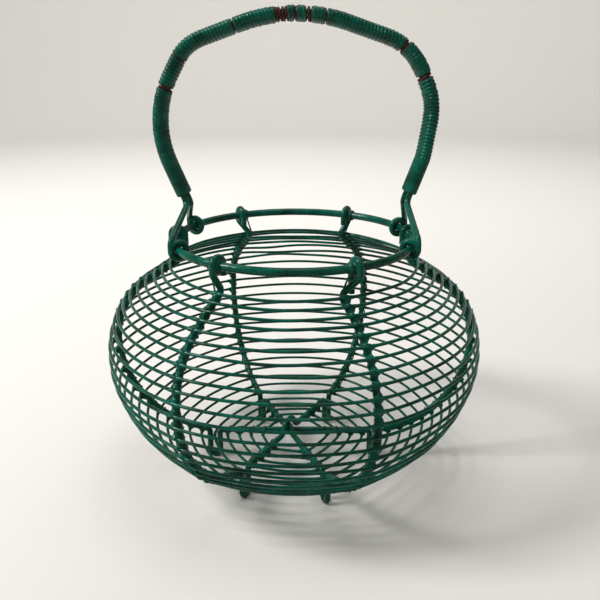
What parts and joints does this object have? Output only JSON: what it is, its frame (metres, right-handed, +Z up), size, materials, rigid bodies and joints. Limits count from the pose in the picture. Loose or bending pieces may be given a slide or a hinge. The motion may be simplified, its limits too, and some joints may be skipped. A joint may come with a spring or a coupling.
{
  "type": "wire egg collection basket",
  "caption": "Round-bellied wire basket for gathering eggs: woven hoops bound to bent ribs, a rim ring, short bent-wire feet and an arched carrying handle with a wound grip.",
  "frame": {"origin": "on the floor, under the middle of the basket", "axes": "+Z up, +X from the left rib to the right rib, +Y to the back; the handle's arch lies along X"},
  "size_m": [0.263, 0.2576, 0.3171],
  "materials": {
    "frame_enamel": "gloss green enamel brushed thickly over steel wire",
    "weave_enamel": "gloss green enamel over fine steel wire",
    "binding_enamel": "gloss green enamel, clogged between the turns of binding wire",
    "handle_enamel": "gloss green enamel, worn to brown steel at the eyes",
    "grip_enamel": "satin green enamel over wound wire, with bare brown gaps"
  },
  "bodies": {
    "basket": {"binding_wire_back_left": "binding_enamel", "binding_wire_back_right": "binding_enamel", "binding_wire_front_left": "binding_enamel", "binding_wire_front_right": "binding_enamel", "binding_wire_left": "binding_enamel", "binding_wire_right": "binding_enamel", "rib_wire_front_left_back_right": "frame_enamel", "rib_wire_front_right_back_left": "frame_enamel", "rib_wire_left_right": "frame_enamel", "rim_ring": "frame_enamel", "weave_turn_01": "weave_enamel", "weave_turn_02": "weave_enamel", "weave_turn_03": "weave_enamel", "weave_turn_04": "weave_enamel", "weave_turn_05": "weave_enamel", "weave_turn_06": "weave_enamel", "weave_turn_07": "weave_enamel", "weave_turn_08": "weave_enamel", "weave_turn_09": "weave_enamel", "weave_turn_10": "weave_enamel", "weave_turn_11": "weave_enamel", "weave_turn_12": "weave_enamel", "weave_turn_13": "weave_enamel", "weave_turn_14": "weave_enamel", "weave_turn_15": "weave_enamel", "weave_turn_16": "weave_enamel", "weave_turn_17": "weave_enamel", "weave_turn_18": "weave_enamel", "weave_turn_19": "weave_enamel", "weave_turn_20": "weave_enamel", "weave_turn_21": "weave_enamel", "weave_turn_22": "weave_enamel", "weave_turn_23": "weave_enamel", "weave_turn_24": "weave_enamel", "weave_turn_25": "weave_enamel", "weave_turn_26": "weave_enamel", "weave_turn_27": "weave_enamel", "weave_turn_28": "weave_enamel", "weave_turn_29": "weave_enamel"},
    "handle": {"handle_wire_front": "handle_enamel", "handle_wire_back": "handle_enamel", "grip_winding": "grip_enamel"}
  },
  "joints": [
    {"name": "handle_swivel", "type": "hinge", "parent": "basket", "child": "handle", "pos_m": [0, 0, 0.1715], "axis": [0, 0, 1], "range_deg": [-10, 14]}
  ]
}
